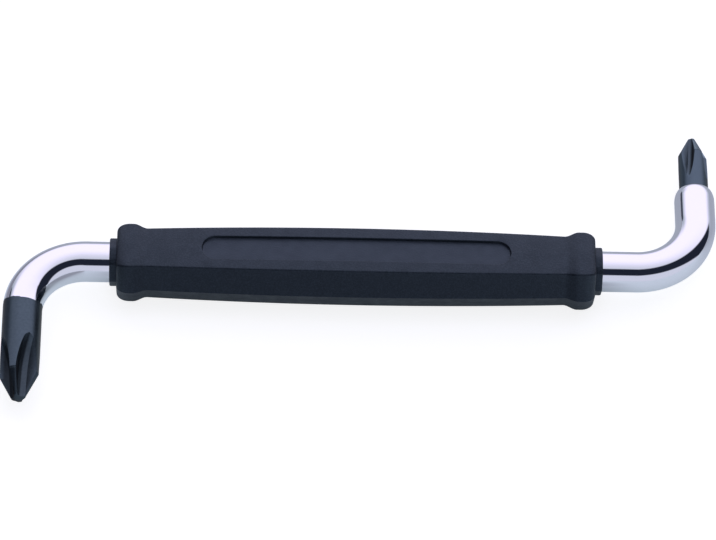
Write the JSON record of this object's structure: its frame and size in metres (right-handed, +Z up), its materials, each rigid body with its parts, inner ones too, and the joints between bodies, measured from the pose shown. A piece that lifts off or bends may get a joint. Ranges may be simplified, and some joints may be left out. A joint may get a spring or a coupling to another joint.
{
  "type": "offset screwdriver",
  "caption": "Flat Z-shaped offset screwdriver: a round chromed steel bar with a blackened cross-point tip on each bent arm, and a six-sided black plastic handle moulded round its middle.",
  "frame": {"origin": "midway between the two arms, under the straight of the bar, on the surface that the tool lies on", "axes": "+X along the handle towards the small tip, +Y the way the small tip points, +Z up out of the marking panel"},
  "size_m": [0.1091, 0.052, 0.0093],
  "materials": {
    "chromed_steel": "bright chrome plating on chrome-vanadium steel; the last stretch of each arm is blackened and satin",
    "black_plastic": "black moulded plastic with a fine matt grain"
  },
  "bodies": {
    "root": {"blade": "chromed_steel", "handle": "black_plastic"}
  },
  "joints": []
}
